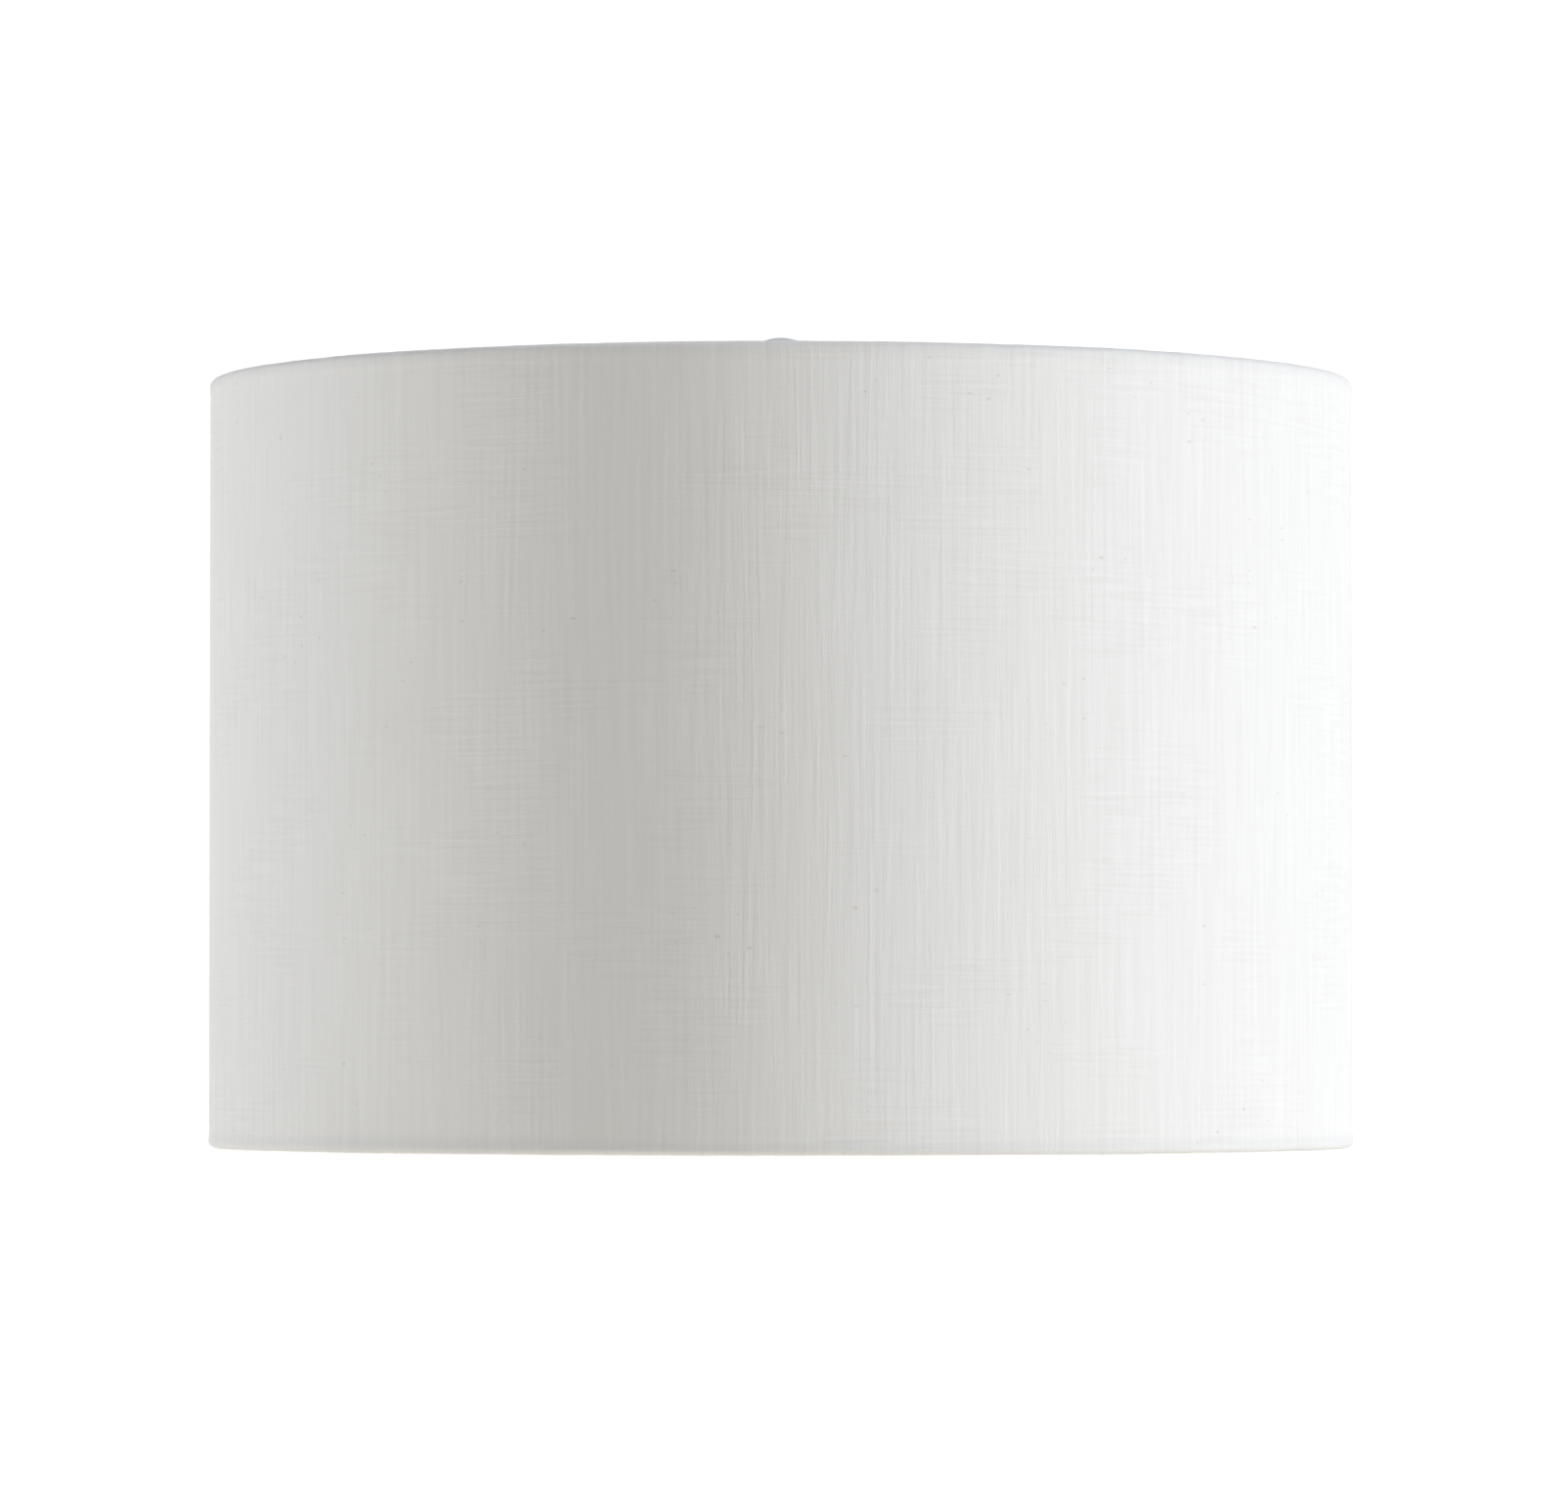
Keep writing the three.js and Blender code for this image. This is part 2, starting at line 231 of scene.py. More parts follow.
def rounded(corners, radius, steps=5):
    """An outline of (radius, height) points with its inner corners rounded off."""
    points = [corners[0]]
    for before, corner, after in zip(corners, corners[1:], corners[2:]):
        c = np.array(corner)
        inward, outward = np.array(before) - c, np.array(after) - c
        cut = min(radius, 0.45 * np.linalg.norm(inward), 0.45 * np.linalg.norm(outward))
        start = c + inward / np.linalg.norm(inward) * cut
        end = c + outward / np.linalg.norm(outward) * cut
        points += curve(start, c, end, steps)
    points.append(corners[-1])
    return points


def around_axis(radius, angles, heights):
    """Points at every angle and height, a column of heights at a time. radius and heights can differ
    from column to column."""
    x = radius * np.cos(angles)[:, None]
    y = radius * np.sin(angles)[:, None]
    z = np.broadcast_to(heights, x.shape)
    return np.stack([x, y, z], -1).reshape(-1, 3)


def shell_faces(columns, rows, used=None):
    """Faces of a thin closed shell over a grid, all of it or only the used cells: the outer side, the
    inner side, and a strip along every free edge. Also gives 1 for each inner face and 0 for the rest."""
    if used is None:
        used = np.ones((columns - 1, rows - 1), bool)
    back = columns * rows
    outer = grid_quads(columns, rows, used, flip=True)
    inner = grid_quads(columns, rows, used, offset=back)
    faces = [tuple(f) for f in outer] + [tuple(f) for f in inner]
    on_inner = [0] * len(outer) + [1] * len(inner)
    directed = np.concatenate([outer[:, [k, (k + 1) % 4]] for k in range(4)])
    known = set(map(tuple, directed))
    for a, b in known:
        if (b, a) not in known:
            faces.append((b, a, a + back, b + back))
            on_inner.append(0)
    # A set has no order of its own, so sorting makes every run give the same mesh.
    order = sorted(range(len(faces)), key=lambda n: faces[n])
    return [faces[n] for n in order], [on_inner[n] for n in order]


# ---------- Cloth and liner sections ----------


def wall_inset(height):
    """How far the wall lies inside the roll's outermost line, by height above the nearer rim."""
    step = ROLL_BULGE * smoothstep(*ROLL_ENDS, height)
    pinch = PINCH_DEPTH * np.exp(-(((height - PINCH_HEIGHT) / PINCH_WIDTH) ** 2))
    return step + pinch


def wall_sway(way_round):
    """How far the wall strays outward, by the way round from the seam. Cloth and liner share it."""
    return SWAY * wave_noise(way_round, SWAY_LENGTHS, seed=9)


def lower_rim_line(inset):
    """The cloth's middle surface round the lower ring and up to the wall, as (radius, height)."""
    wrap = wire_radius + BOND + CLOTH / 2
    centre = (ring_radius, lower_ring_height)
    corner_centre = (shade_radius - RIM_CORNER, RIM_CORNER)
    round_wire = arc(centre, wrap, TUCK_ANGLE, 270, 13)
    corner = arc(corner_centre, RIM_CORNER - inset, 270, 360, 5)
    return round_wire + corner


def cloth_line():
    """The whole middle surface from the lower tucked edge to the upper one, finest near the rims."""
    rim = lower_rim_line(CLOTH / 2)
    near_rim = [RIM_CORNER + d * MM for d in (0.6, 1.2, 1.9, 2.7, 3.5, 4.3, 5.2, 6.4, 8.0, 10.5, 14)]
    wall = near_rim + list(np.linspace(near_rim[-1], shade_height - near_rim[-1], 14)[1:-1])
    wall += [shade_height - z for z in reversed(near_rim)]
    points = list(rim)
    for z in wall:
        inset = wall_inset(min(z, shade_height - z))
        points.append((shade_radius - CLOTH / 2 - inset, z))
    points += [(r, shade_height - z) for r, z in reversed(rim)]
    return np.array(points)


def line_normals(line):
    """Unit normals to the right of the way the line runs, which is the cloth's outer face."""
    ahead = np.gradient(line, axis=0)
    ahead /= np.linalg.norm(ahead, axis=1)[:, None]
    return np.stack([ahead[:, 1], -ahead[:, 0]], 1)


def line_length(line):
    """The distance along the line to each of its points."""
    return np.concatenate([[0], np.cumsum(np.linalg.norm(np.diff(line, axis=0), axis=1))])


# ---------- Linen cloth ----------

girth = TAU * shade_radius
BAKE_MARGIN = 0.004  # share of the bake image left round each part of the cloth
BAKE_STRIP = 0.465  # share of its height that each half of the outer face takes


def seam_distance(angle):
    """The way round the shade from the seam to an angle, in the direction the cloth runs."""
    return ((SEAM_ANGLE - angle) % TAU) * shade_radius


def cloth_columns():
    """Places round the cloth, closer together at the lap and at the arms' notches."""
    free_end = girth + LAP_WIDTH
    even = np.linspace(0, free_end, 630)
    extra = [UNDER_END, LAP_WIDTH + 0.6 * MM]
    extra += [girth - LAP_RISE] + list(girth - np.array([3.6, 2.8, 2.0, 1.2, 0.5]) * MM)
    extra += list(free_end - HEM_WIDTH - np.array([1.0, 0.5, 0.0]) * MM)
    extra += list(free_end - np.array([1.3, 0.9, 0.5, 0.25, 0.1]) * MM)
    for angle in ARM_ANGLES:
        middle = seam_distance(angle)
        extra += [middle - NOTCH_HALF_WIDTH, middle + NOTCH_HALF_WIDTH]
    columns = np.unique(np.concatenate([even, extra]))
    fixed = np.isin(columns, extra)
    near = np.abs(columns[:, None] - np.array(extra)[None, :]).min(1)
    keep = fixed | (near > 0.6 * MM) | (columns == 0) | (columns == columns[-1])
    return columns[keep]


def slub_relief(columns, rows_at):
    """Low raised streaks of thick warp threads along the wall, as a height for each grid point."""
    rng = np.random.default_rng(11)
    relief = np.zeros((len(columns), len(rows_at)))
    for _ in range(SLUBS):
        centre = rng.uniform(0, columns[-1])
        middle = rng.uniform(0, rows_at[-1])
        width = rng.uniform(1.6, 3.2) * MM
        length = rng.uniform(12, 60) * MM
        height = rng.uniform(-0.035, 0.06) * MM
        across = np.exp(-(((columns - centre) / width) ** 2))
        along = np.exp(-(((rows_at - middle) / length) ** 2))
        relief += height * across[:, None] * along[None, :]
    return relief


def bake_layout(around, rise, past_half, on_inner):
    """Places in the bake image: the outer face as two long strips, one over the other, and the inner
    face in a band on top. rise runs from 0 to 1 up the cloth, past_half says which faces lie in the
    second strip, and on_inner which are on the inner side."""
    half = (girth + LAP_WIDTH) / 2
    width = 1 - 2 * BAKE_MARGIN
    u = BAKE_MARGIN + (around - np.where(past_half, half, 0)) / half * width
    v = BAKE_MARGIN + rise * BAKE_STRIP + np.where(past_half, BAKE_STRIP + BAKE_MARGIN, 0)
    inner_u = BAKE_MARGIN + around / (2 * half) * width
    inner_v = 2 * BAKE_STRIP + 3 * BAKE_MARGIN + rise * (1 - 2 * BAKE_STRIP - 4 * BAKE_MARGIN)
    return np.where(on_inner, inner_u, u), np.where(on_inner, inner_v, v)


def cloth_cells(columns, line, from_rim):
    """Which cells of the cloth's grid are there. The lap's under layer stops short of the rims, and the
    turned-in edge is cut away round each arm."""
    used = np.ones((len(columns) - 1, len(line) - 1), bool)
    mid_s = (columns[:-1] + columns[1:]) / 2
    mid_rim = (from_rim[:-1] + from_rim[1:]) / 2
    used[np.ix_(mid_s < UNDER_END, mid_rim < UNDER_FROM_RIM)] = False
    turned_in = np.arange(len(line) - 1) >= upper_tuck_row(line)
    for angle in ARM_ANGLES:
        beside = np.abs(mid_s - seam_distance(angle)) < NOTCH_HALF_WIDTH
        used[np.ix_(beside, turned_in)] = False
    return used


def upper_tuck_row(line):
    """The first row of the cloth that the arms' notches cut, a little above the arms."""
    top = upper_ring_height + arm_radius + 0.25 * MM
    rows = np.arange(len(line))
    inside = (line[:, 0] < ring_radius) & (line[:, 1] < top) & (rows > len(line) / 2)
    return int(np.flatnonzero(inside)[0])


def make_cloth():
    """The panel as a thin shell. s runs round the shade from the seam, past it and over the lap."""
    line = cloth_line()
    normals = line_normals(line)
    along = line_length(line)
    columns = cloth_columns()
    s = columns[:, None]
    height = line[None, :, 1]
    from_rim = np.minimum(height, shade_height - height)
    on_wall = smoothstep(RIM_CORNER + 0.6 * MM, 9.0 * MM, from_rim)
    on_inside = smoothstep(shade_radius - 2.6 * MM, ring_radius - 0.8 * MM, line[None, :, 0])

    lapped = smoothstep(girth - LAP_RISE, girth - 0.4 * MM, s)
    lift = LAP_STEP * lapped * on_wall
    free_end = columns[-1]
    hem = smoothstep(free_end - HEM_WIDTH - 1.0 * MM, free_end - HEM_WIDTH, s)
    hem = hem * np.sqrt(np.clip((free_end - s) / (0.9 * MM), 0.03, 1))
    drop = HEM_DROP * smoothstep(free_end - 1.3 * MM, free_end - 0.5 * MM, s) * on_wall
    ripple = RIPPLE_INSIDE * wave_noise(s, (7 * MM, 16 * MM), seed=3) * on_inside
    ripple = ripple + RIPPLE_ROLL * wave_noise(s, (11 * MM, 27 * MM), seed=5) * (1 - on_wall)
    sway = wall_sway(s) * np.ones_like(height)
    relief = slub_relief(columns, along) * on_wall

    outer = CLOTH / 2 + lift + HEM_EXTRA * hem + ripple + relief + sway
    inner = -CLOTH / 2 + lift - drop + 0.4 * ripple + sway
    angles = SEAM_ANGLE - columns / shade_radius
    sides = []
    for shift in (outer, inner):
        radius = line[None, :, 0] + normals[None, :, 0] * shift
        z = line[None, :, 1] + normals[None, :, 1] * shift
        sides.append(around_axis(radius, angles, z))
    used = cloth_cells(columns, line, from_rim[0])
    faces, on_inner = shell_faces(len(columns), len(line), used)

    point = np.array(faces) % (len(columns) * len(line))
    corner_s = columns[point // len(line)]
    corner_along = along[point % len(line)]
    past_half = corner_s.mean(1, keepdims=True) > free_end / 2
    on_inner = np.array(on_inner, bool)[:, None]
    uv = {
        "panel": np.stack([corner_s, corner_along], -1),
        "OFBake": np.stack(bake_layout(corner_s, corner_along / along[-1], past_half, on_inner), -1),
    }
    cloth = add_piece("linen_cloth", np.concatenate(sides), faces, uv)
    flat_size = (free_end, along[-1])
    return cloth, flat_size


# ---------- Styrene liner and seam tape ----------


def make_liner():
    """A stiff sheet behind the cloth, butted at the seam with a hairline gap."""
    fine_band = 16 * MM
    heights = np.concatenate([
        np.linspace(liner_edge, fine_band, 12),
        np.linspace(fine_band, shade_height - fine_band, 12)[1:-1],
        np.linspace(shade_height - fine_band, shade_height - liner_edge, 12),
    ])
    from_rim = np.minimum(heights, shade_height - heights)
    outer = shade_radius - wall_inset(from_rim) - (CLOTH + BOND)
    gap = LINER_GAP / 2 / shade_radius
    angles = np.linspace(SEAM_ANGLE + gap, SEAM_ANGLE + TAU - gap, 361)
    sway = wall_sway(seam_distance(angles))[:, None]
    sheets = [around_axis(radius + sway, angles, heights) for radius in (outer, outer - LINER)]
    faces, _ = shell_faces(len(angles), len(heights))
    faces = [f[::-1] for f in faces]  # the angles run the other way here than on the cloth
    point = np.array(faces) % (len(angles) * len(heights))
    way_round = angles[point // len(heights)] * shade_radius
    up = heights[point % len(heights)]
    uv = {"panel": np.stack([way_round, up], -1)}
    return add_piece("liner_sheet", np.concatenate(sheets), faces, uv)


def make_tape():
    """The clear adhesive strip between the two layers of the lap."""
    low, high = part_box("seam_tape")
    end_inset = 3 * MM
    far = math.asin(low.x / shade_radius)
    near = math.asin(high.x / shade_radius)
    angles = SEAM_ANGLE - np.linspace(near, far, 8)
    heights = np.linspace(low.z + end_inset, high.z - end_inset, 40)
    from_rim = np.minimum(heights, shade_height - heights)
    under_face = shade_radius - wall_inset(from_rim) + TAPE_LIFT
    sheets = [around_axis(radius[None, :], angles, heights) for radius in (under_face, under_face + TAPE)]
    faces, _ = shell_faces(len(angles), len(heights))
    return add_piece("tape_film", np.concatenate(sheets), faces)


# ---------- Wires ----------


def sweep(name, path, radii, extra):
    """A round bar along a path with a radius at each point, closed by blunt cones. extra holds more
    (vertices, faces) to join in, such as weld beads."""
    path = np.asarray(path, float)
    ahead = np.gradient(path, axis=0)
    ahead /= np.linalg.norm(ahead, axis=1)[:, None]
    side = np.cross(ahead[0], (0, 0, 1.0))
    side /= np.linalg.norm(side)
    vertices, along = [], line_length(path)
    for point, direction, radius in zip(path, ahead, radii):
        side = side - direction * side.dot(direction)
        side /= np.linalg.norm(side)
        up = np.cross(side, direction)
        for k in range(WIRE_SIDES):
            angle = TAU * k / WIRE_SIDES
            vertices.append(point + radius * (math.cos(angle) * side + math.sin(angle) * up))
    last = (len(path) - 1) * WIRE_SIDES
    start, end = len(vertices), len(vertices) + 1
    vertices += [path[0] - ahead[0] * radii[0] * 0.3, path[-1] + ahead[-1] * radii[-1] * 0.3]
    faces = []
    for k in range(WIRE_SIDES):
        following = (k + 1) % WIRE_SIDES
        for here in range(0, last, WIRE_SIDES):
            beyond = here + WIRE_SIDES
            faces.append((here + following, here + k, beyond + k, beyond + following))
        faces.append((start, k, following))
        faces.append((end, last + following, last + k))
    for more_vertices, more_faces in extra:
        offset = len(vertices)
        vertices += list(more_vertices)
        faces += [tuple(c + offset for c in f) for f in more_faces]
    corners = []
    for face in faces:
        for c in face:
            ring, k = divmod(c, WIRE_SIDES)
            ring = min(ring, len(path) - 1)
            corners.append((k / WIRE_SIDES * TAU * radii[ring], along[ring]))
    return add_piece(name, vertices, faces, {"panel": corners}, sharp_angle=math.radians(50))


def ball(centre, size, seed):
    """A lumpy bead, such as a weld leaves: a squashed sphere with a few soft dents."""
    rng = np.random.default_rng(seed)
    across, down = 16, 9
    phase = rng.uniform(0, TAU, 2)

    def point(polar, angle):
        lump = 1 + 0.07 * math.sin(3 * angle + phase[0]) * math.sin(polar) ** 2
        lump += 0.05 * math.sin(2 * angle + 2 * polar + phase[1]) * math.sin(polar)
        sideways = math.sin(polar)
        direction = (sideways * math.cos(angle), sideways * math.sin(angle), math.cos(polar))
        return np.array(centre) + lump * np.array(size) * np.array(direction)

    vertices = [point(0, 0)]
    for i in range(1, down):
        vertices += [point(math.pi * i / down, TAU * k / across) for k in range(across)]
    vertices.append(point(math.pi, 0))
    last = len(vertices) - 1
    faces = []
    for k in range(across):
        following = (k + 1) % across
        faces.append((0, 1 + k, 1 + following))
        for i in range(down - 2):
            row, below = 1 + i * across, 1 + (i + 1) * across
            faces.append((row + k, below + k, below + following, row + following))
        bottom = 1 + (down - 2) * across
        faces.append((last, bottom + following, bottom + k))
    return vertices, faces


def make_ring(name, height):
    """A hoop of wire with a slight swell at its butt weld."""
    steps = 360
    weld_at = SEAM_ANGLE + math.radians(24)
    plain_radius = 0.96 * wire_radius
    vertices, faces, corners = [], [], []
    for i in range(steps):
        angle = TAU * i / steps
        off = abs((angle - weld_at + math.pi) % TAU - math.pi) * ring_radius
        radius = plain_radius + WELD_SWELL * wire_radius * math.exp(-((off / WELD_LENGTH) ** 2))
        for k in range(WIRE_SIDES):
            around = TAU * k / WIRE_SIDES
            across = ring_radius + radius * math.cos(around)
            z = height + radius * math.sin(around)
            vertices.append((across * math.cos(angle), across * math.sin(angle), z))
    for i in range(steps):
        here, beyond = i * WIRE_SIDES, (i + 1) % steps * WIRE_SIDES
        for k in range(WIRE_SIDES):
            following = (k + 1) % WIRE_SIDES
            faces.append((here + k, beyond + k, beyond + following, here + following))
            for step, side in ((i, k), (i + 1, k), (i + 1, k + 1), (i, k + 1)):
                u = side / WIRE_SIDES * TAU * wire_radius
                corners.append((u, step / steps * TAU * ring_radius))
    return add_piece(name, vertices, faces, {"panel": corners})


def arm_path():
    """One arm's line as (radius, height): level at the ring, down by the drop, level to the washer."""
    upper_bend = arm_ring_end - ARM_RIM_RUN
    lower_bend = upper_bend - (upper_ring_height - arm_run_height) / math.tan(ARM_SLOPE)
    corners = [
        (arm_ring_end + 0.5 * MM, upper_ring_height),
        (upper_bend, upper_ring_height),
        (lower_bend, arm_run_height),
        (arm_washer_end, arm_run_height),
    ]
    bends = []
    for before, corner, after in zip(corners, corners[1:], corners[2:]):
        c = np.array(corner)
        inward, outward = np.array(before) - c, np.array(after) - c
        start = c + inward / np.linalg.norm(inward) * ARM_BEND
        end = c + outward / np.linalg.norm(outward) * ARM_BEND
        bends += curve(start, c, end, 10)
    rim = [(r, upper_ring_height) for r in np.linspace(corners[0][0], bends[0][0], 5)[:-1]]
    level = [(r, arm_run_height) for r in np.linspace(bends[-1][0], arm_washer_end, 26)[1:]]
    return rim + bends + level


def make_arm(number, angle):
    """An arm with a bead where it is welded to the ring and a flatter one under the washer."""
    direction = np.array((math.cos(angle), math.sin(angle), 0))
    line = arm_path()
    path = [direction * r + np.array((0, 0, z)) for r, z in line]
    from_washer = np.array([r - arm_washer_end for r, z in line])
    radii = arm_radius * (1 - 0.10 * np.exp(-((from_washer / (3.0 * MM)) ** 2)))
    ring_weld = direction * (arm_ring_end + 0.25 * MM) + np.array((0, 0, upper_ring_height - 0.2 * MM))
    spot = direction * (arm_washer_end + 1.6 * MM) + np.array((0, 0, washer_low.z - 0.25 * MM))
    welds = [
        ball(ring_weld, (1.5 * MM, 1.5 * MM, 1.25 * MM), 40 + number),
        ball(spot, (2.2 * MM, 2.2 * MM, 0.7 * MM), 50 + number),
    ]
    return sweep(f"arm_wire_{number}", path, radii, welds)


# ---------- Washer ----------


def make_washer():
    """A stamped disc with a rolled-over upper edge, a sheared lower edge and a lightly coined hole."""
    inner, outer = 5.55 * MM, washer_high.x
    low, high = washer_low.z, washer_high.z
    coin_depth = 0.12 * MM
    section = rounded([
        (inner + 0.5 * MM, low),
        (outer - 0.25 * MM, low),
        (outer, low + 0.25 * MM),
        (outer, high - 0.55 * MM),
        (outer - 0.55 * MM, high),
        (inner + 2.0 * MM, high),
        (inner + 1.6 * MM, high - coin_depth),
        (inner + 0.35 * MM, high - coin_depth),
        (inner, high - 0.5 * MM),
        (inner, low + 0.3 * MM),
        (inner + 0.5 * MM, low),
    ], 0.22 * MM)
    return turn("washer_disc", section, 120)


# ---------- Finial ----------

THREAD_PITCH = 0.94 * MM  # 27 turns to the inch
THREAD_DEPTH = 0.45 * MM
STEPS_PER_THREAD = 8
SOCKET_RADIUS = 3.25 * MM
SOCKET_DEPTH = 9.0 * MM
SPIGOT_RADIUS = 2.6 * MM
SPIGOT_LENGTH = 5.0 * MM


def make_finial_base():
    """Flange, neck, collar and shoulder above a threaded socket, with the knob's spigot on top."""
    z0, z1 = base_low.z, base_high.z
    flange = base_high.x
    neck = 4.9 * MM
    collar = 5.55 * MM
    shoulder = z1 - SPIGOT_LENGTH
    outside = rounded([
        (SOCKET_RADIUS + 0.7 * MM, z0),
        (flange - 0.45 * MM, z0),
        (flange, z0 + 0.45 * MM),
        (flange, z0 + 1.5 * MM),
        (flange - 0.9 * MM, z0 + 2.2 * MM),
        (neck + 1.3 * MM, z0 + 2.5 * MM),
        (neck, z0 + 3.7 * MM),
        (neck, z0 + 6.9 * MM),
        (collar, z0 + 7.3 * MM),
        (collar, z0 + 8.3 * MM),
        (neck - 0.2 * MM, z0 + 8.7 * MM),
        (neck - 0.4 * MM, shoulder - 1.1 * MM),
        (neck, shoulder - 0.4 * MM),
        (neck - 0.4 * MM, shoulder),
        (SPIGOT_RADIUS, shoulder),
        (SPIGOT_RADIUS, z1),
        (0.0, z1),
    ], 0.35 * MM)
    steps = round(SOCKET_DEPTH / THREAD_PITCH) * STEPS_PER_THREAD
    bore = [(SOCKET_RADIUS, z0 + SOCKET_DEPTH * (1 - k / steps)) for k in range(steps)]
    profile = [(0.0, z0 + SOCKET_DEPTH)] + bore + [(SOCKET_RADIUS + 0.35 * MM, z0)] + outside
    piece = turn("finial_base_turned", profile, 96)
    cut_thread(piece, z0)
    return piece


def cut_thread(piece, mouth):
    """Draws the wall of the socket in along a helix, fading out at the mouth."""
    for v in piece.data.vertices:
        radius = math.hypot(v.co.x, v.co.y)
        below_floor = v.co.z < mouth + SOCKET_DEPTH - 0.5 * THREAD_PITCH
        if 0 < radius < SOCKET_RADIUS + 0.1 * MM and below_floor:
            turns = v.co.z / THREAD_PITCH - math.atan2(v.co.y, v.co.x) / TAU
            crest = abs(2 * (turns % 1) - 1)
            fade = min(1, (v.co.z - mouth) / (0.8 * MM))
            scale = 1 - THREAD_DEPTH / SOCKET_RADIUS * crest * fade
            v.co.x *= scale
            v.co.y *= scale


def make_finial_knob():
    """A bun-shaped knob with a bead at its foot, a fine groove round its belly and a low crown."""
    z0, z1 = knob_low.z, knob_high.z
    belly = knob_high.x
    foot = 4.7 * MM
    bore_radius, bore_top = 3.0 * MM, z0 + 3.0 * MM
    waist = z0 + 7.6 * MM
    groove_depth = 0.22 * MM
    groove_mouth, groove_floor = 0.35 * MM, 0.15 * MM  # half heights
    crown_edge, crown_depth = 7.0 * MM, 1.6 * MM
    crown_radius = (crown_edge ** 2 + crown_depth ** 2) / (2 * crown_depth)
    bead = rounded([
        (bore_radius, bore_top),
        (bore_radius, z0),
        (foot - 0.2 * MM, z0),
        (foot + 0.25 * MM, z0 + 0.55 * MM),
        (foot - 0.2 * MM, z0 + 1.1 * MM),
    ], 0.3 * MM)
    under_control = np.array((belly, z0 + 1.2 * MM))
    widest = np.array((belly, waist - groove_mouth))
    underside = curve(np.array(bead[-1]), under_control, widest, 14)[1:]
    groove = [(belly - groove_depth, waist - groove_floor), (belly - groove_depth, waist + groove_floor)]
    upper = np.array((belly, waist + groove_mouth))
    crown_start = np.array((crown_edge, z1 - crown_depth))
    shoulder = curve(upper, np.array((belly, z1 - crown_depth)), crown_start, 10)
    half_angle = math.degrees(math.asin(crown_edge / crown_radius))
    crown = arc((0, z1 - crown_radius), crown_radius, 90 - half_angle, 90, 12)[1:-1]
    profile = [(0.0, bore_top)] + bead + underside + groove + shoulder + crown + [(0.0, z1)]
    return turn("finial_knob_turned", profile, 120)


# ---------- Material helpers ----------


class Shader:
    """One material's nodes, with short calls for the nodes that repeat. Values are sockets or numbers."""

    def __init__(self, name):
        self.material = bpy.data.materials.new(name)
        self.material.use_nodes = True
        self.tree = self.material.node_tree
        self.principled = self.tree.nodes["Principled BSDF"]

    def node(self, kind, **settings):
        made = self.tree.nodes.new(kind)
        for key, value in settings.items():
            setattr(made, key, value)
        return made

    def plug(self, value, socket):
        """Links a socket, or sets a plain value."""
        if isinstance(value, bpy.types.NodeSocket):
            self.tree.links.new(value, socket)
        else:
            socket.default_value = value

    def math(self, operation, a, b=0.0, c=None):
        made = self.node("ShaderNodeMath", operation=operation)
        self.plug(a, made.inputs[0])
        self.plug(b, made.inputs[1])
        if c is not None:
            self.plug(c, made.inputs[2])
        return made.outputs[0]

    def weighted_sum(self, parts, start=0.0):
        """start plus each part's value times its weight."""
        total = start
        for value, weight in parts:
            total = self.math("MULTIPLY_ADD", value, weight, total)
        return total

    def parts_of(self, vector):
        """The X, Y and Z of a vector."""
        split = self.node("ShaderNodeSeparateXYZ")
        self.plug(vector, split.inputs[0])
        return split.outputs

    def scaled(self, vector, scale, turn_by=0.0, shift=(0, 0, 0)):
        made = self.node("ShaderNodeMapping")
        self.plug(vector, made.inputs["Vector"])
        made.inputs["Scale"].default_value = scale
        made.inputs["Rotation"].default_value = (0, 0, turn_by)
        made.inputs["Location"].default_value = shift
        return made.outputs[0]

    def noise(self, vector, scale=1.0, detail=2.0, roughness=0.5, dimensions="2D"):
        made = self.node("ShaderNodeTexNoise", noise_dimensions=dimensions)
        self.plug(vector, made.inputs["Vector"])
        made.inputs["Scale"].default_value = scale
        made.inputs["Detail"].default_value = detail
        made.inputs["Roughness"].default_value = roughness
        return made.outputs["Fac"]

    def between(self, value, low, high, to_low=0.0, to_high=1.0):
        """A soft step from to_low where value is low to to_high where it is high."""
        made = self.node("ShaderNodeMapRange", interpolation_type="SMOOTHSTEP")
        self.plug(value, made.inputs["Value"])
        made.inputs["From Min"].default_value = low
        made.inputs["From Max"].default_value = high
        made.inputs["To Min"].default_value = to_low
        made.inputs["To Max"].default_value = to_high
        return made.outputs["Result"]

    def mix(self, factor, a, b):
        """A colour between a and b. Each is a socket or three numbers."""
        made = self.node("ShaderNodeMix", data_type="RGBA")
        self.plug(factor, made.inputs["Factor"])
        for value, socket in ((a, made.inputs[6]), (b, made.inputs[7])):
            if isinstance(value, tuple):
                value = (*value, 1.0)
            self.plug(value, socket)
        return made.outputs[2]

    def bump(self, height, strength, distance):
        made = self.node("ShaderNodeBump")
        self.plug(height, made.inputs["Height"])
        made.inputs["Strength"].default_value = strength
        made.inputs["Distance"].default_value = distance
        self.tree.links.new(made.outputs[0], self.principled.inputs["Normal"])

    def panel_mm(self):
        """The piece's own surface coordinates in millimetres: round or across it, and along it."""
        source = self.node("ShaderNodeUVMap", uv_map="panel")
        return self.scaled(source.outputs[0], (1 / MM, 1 / MM, 1 / MM))

    def object_mm(self):
        """The object's coordinates in millimetres."""
        source = self.node("ShaderNodeTexCoord")
        return self.scaled(source.outputs["Object"], (1 / MM, 1 / MM, 1 / MM))

    def set(self, **values):
        """Sets or links sockets of the surface, named with _ for each space."""
        for key, value in values.items():
            self.plug(value, self.principled.inputs[key.replace("_", " ")])


# ---------- Materials ----------

